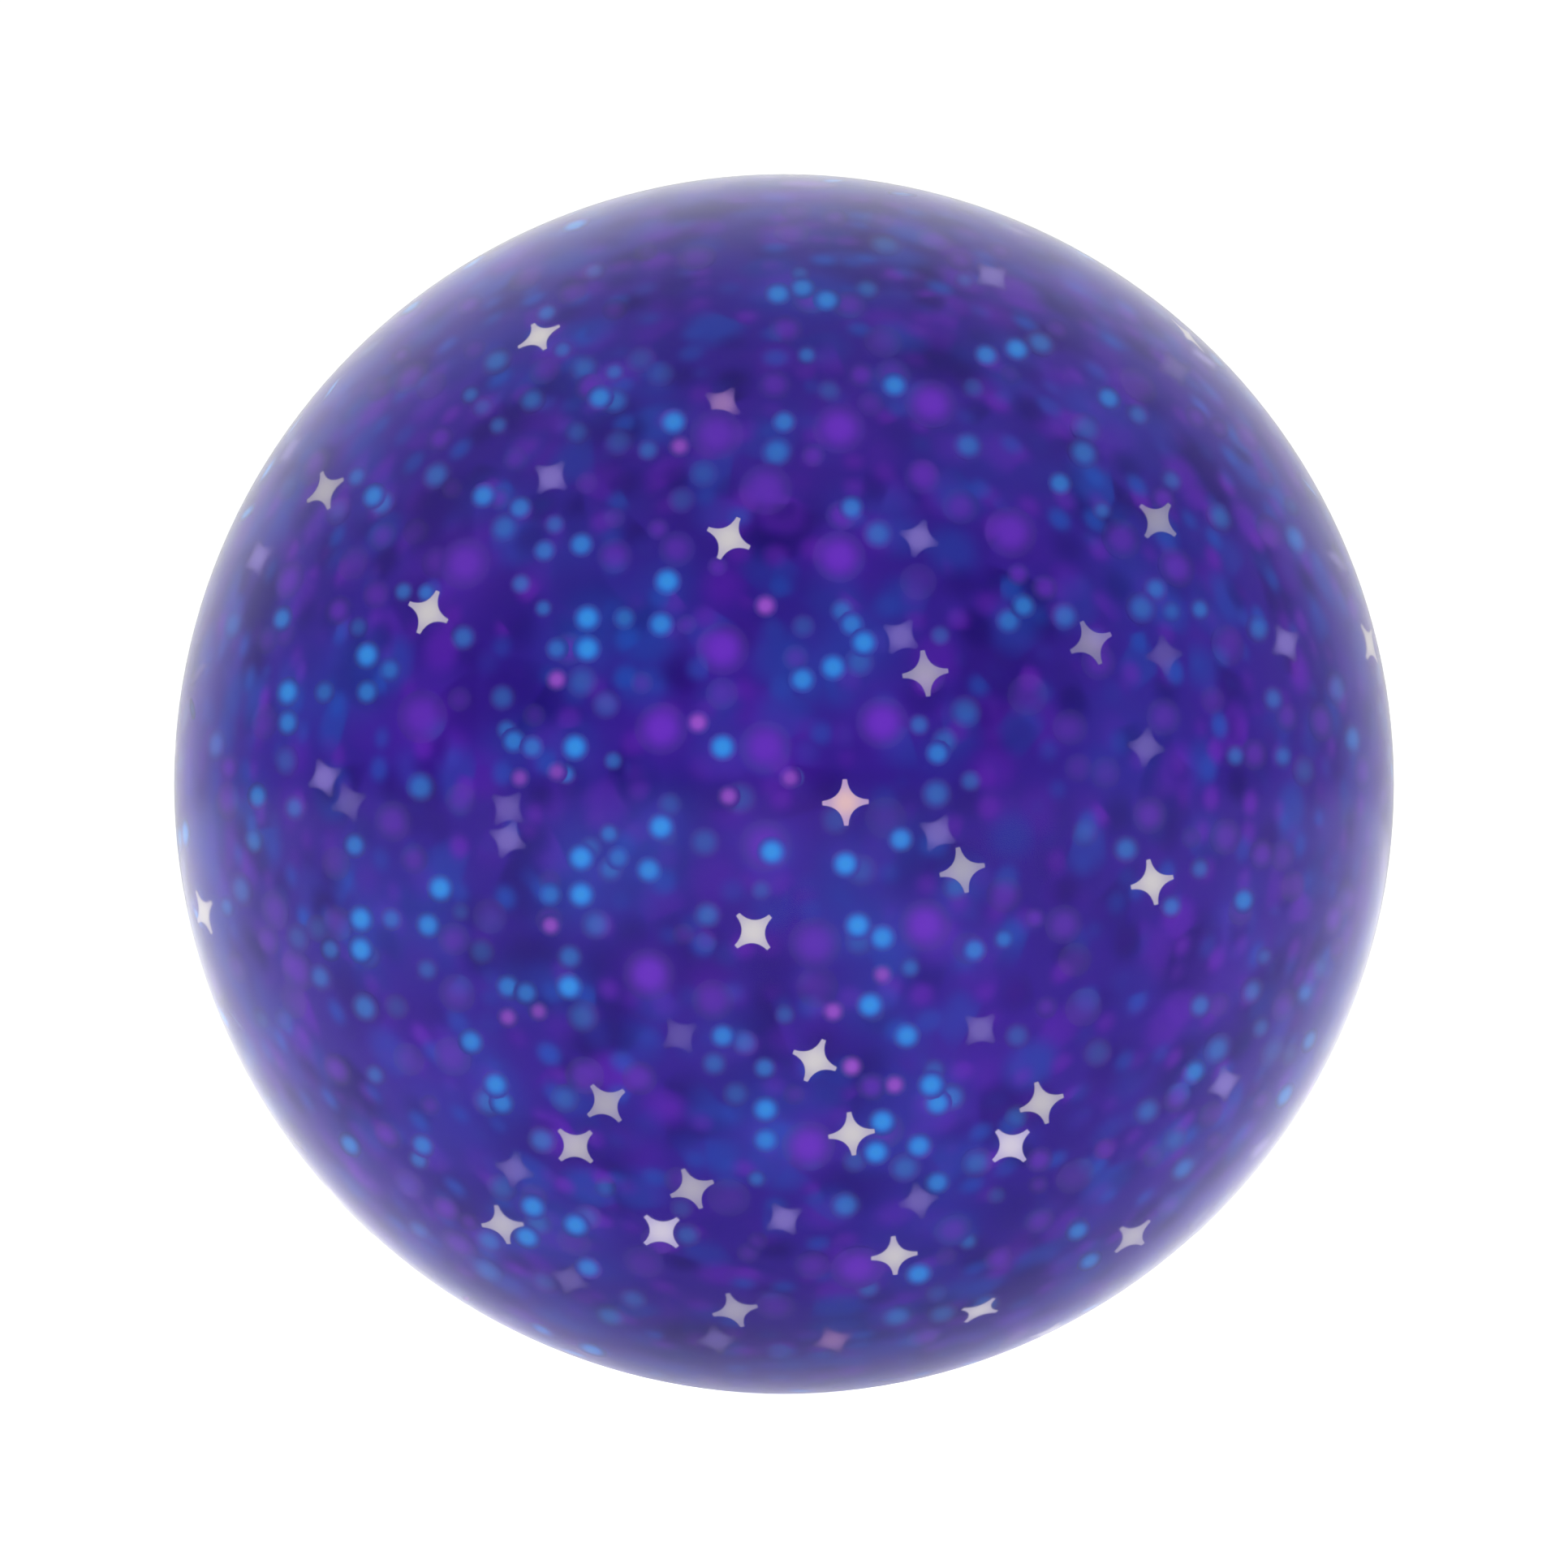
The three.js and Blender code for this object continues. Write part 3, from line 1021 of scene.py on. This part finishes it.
filmKinds = {  # the start of a film's name: what it is cut from, its material and its slot
    "upper_star": (upperStar, silverFilm, "silver_film"),
    "upper_rose_star": (upperStar, roseFilm, "rose_film"),
    "lower_star": (lowerStar, ghostFilm, "silver_film"),
    "lower_rose_star": (lowerStar, ghostRoseFilm, "rose_film"),
    "violet": (roundDisc, violetFilm, "violet_film"),
    "ghost_stars": (lowerStar, ghostFilm, "silver_film"),
    "stars": (upperStar, silverFilm, "silver_film"),
    "azure": (roundDot, azureFilm, "azure_film"),
    "pink": (roundDot, pinkFilm, "pink_film"),
}
glintStars = [f"upper_star_{number:02d}" for number in starSettings["bright"]]


def addConfetti():
    for name, places in filmPlaces.items():
        kind = next(k for k in filmKinds if name.startswith(k))
        film, material, slotName = filmKinds[kind]
        # the two stars with the painted highlight take the lighter copy of the silver film
        if name in glintStars:
            material = paintedGlintFilm
        if name in nodes:
            matrix, shine = places[0]
            if kind == "violet":
                matrix = matrix @ Matrix.Scale(discSettings["across"], 4)
            layFilms(f"{name}_film", film, [(matrix, shine)], material, [name])
        else:
            layFilms(name, film, places, material)
            print(name, len(places))


addConfetti()
print("confetti: laid")

studioSettings = {
    "floorSize": 3.0,
    "floor": rgba(0.93, 0.93, 0.95),
    "floorRoughness": 0.8,
    "seenWhite": 1.1,  # how bright the floor and the surround look to the camera
    "floorGlow": 0.62,  # what the floor gives the ball
    "base": 0.36,  # what the surround gives the ball from every side, without the glows
    "glows": [  # direction, cosine where it starts, cosine where it is full, strength
        ((-0.05, 1, 0.3), 0.5, 0.9, 0.55),
        ((-0.25, 0.3, 0.9), 0.2, 0.95, 0.72),
        ((1, 0.1, 0.15), 0.35, 0.95, 0.33),
    ],
}


def addFloor(settings):
    bm = bmesh.new()
    bmesh.ops.create_grid(bm, x_segments=1, y_segments=1, size=settings["floorSize"] / 2)
    bmesh.ops.translate(bm, verts=bm.verts, vec=(0, 0, cadLow.z))
    mesh = bpy.data.meshes.new("floor")
    bm.to_mesh(mesh)
    bm.free()
    material, tree, shader = newMaterial(
        "paleFloor",
        Base_Color=settings["floor"],
        Roughness=settings["floorRoughness"],
        Emission_Color=settings["floor"],
    )
    path = addNode(tree, "ShaderNodeLightPath")
    seen = path.outputs["Is Camera Ray"]
    lit = mapRange(tree, seen, 0, 1, settings["floorGlow"], settings["seenWhite"])
    tree.links.new(lit, shader.inputs["Emission Strength"])
    mesh.materials.append(material)
    floor = bpy.data.objects.new("floor", mesh)
    bpy.context.scene.collection.objects.link(floor)


def addSurround(settings):
    world = bpy.data.worlds.new("surround")
    bpy.context.scene.world = world
    world.use_nodes = True
    tree = world.node_tree
    background = tree.nodes["Background"]
    place = addNode(tree, "ShaderNodeTexCoord")
    total = settings["base"]
    for direction, start, full, strength in settings["glows"]:
        dot = addNode(tree, "ShaderNodeVectorMath", operation="DOT_PRODUCT")
        dot.inputs[1].default_value = Vector(direction).normalized()
        tree.links.new(place.outputs["Generated"], dot.inputs[0])
        glow = mapRange(tree, dot.outputs["Value"], start, full, 0.0, strength)
        total = addMath(tree, "ADD", glow, total)
    path = addNode(tree, "ShaderNodeLightPath")
    choose = addNode(tree, "ShaderNodeMix", data_type="FLOAT")
    choose.inputs[3].default_value = settings["seenWhite"]
    tree.links.new(path.outputs["Is Camera Ray"], choose.inputs[0])
    tree.links.new(total, choose.inputs[2])
    tree.links.new(choose.outputs[0], background.inputs["Strength"])
    background.inputs["Color"].default_value = rgba(1, 1, 1)


addFloor(studioSettings)
addSurround(studioSettings)
bpy.context.scene.view_settings.view_transform = "Standard"
print("studio: floor and surround")
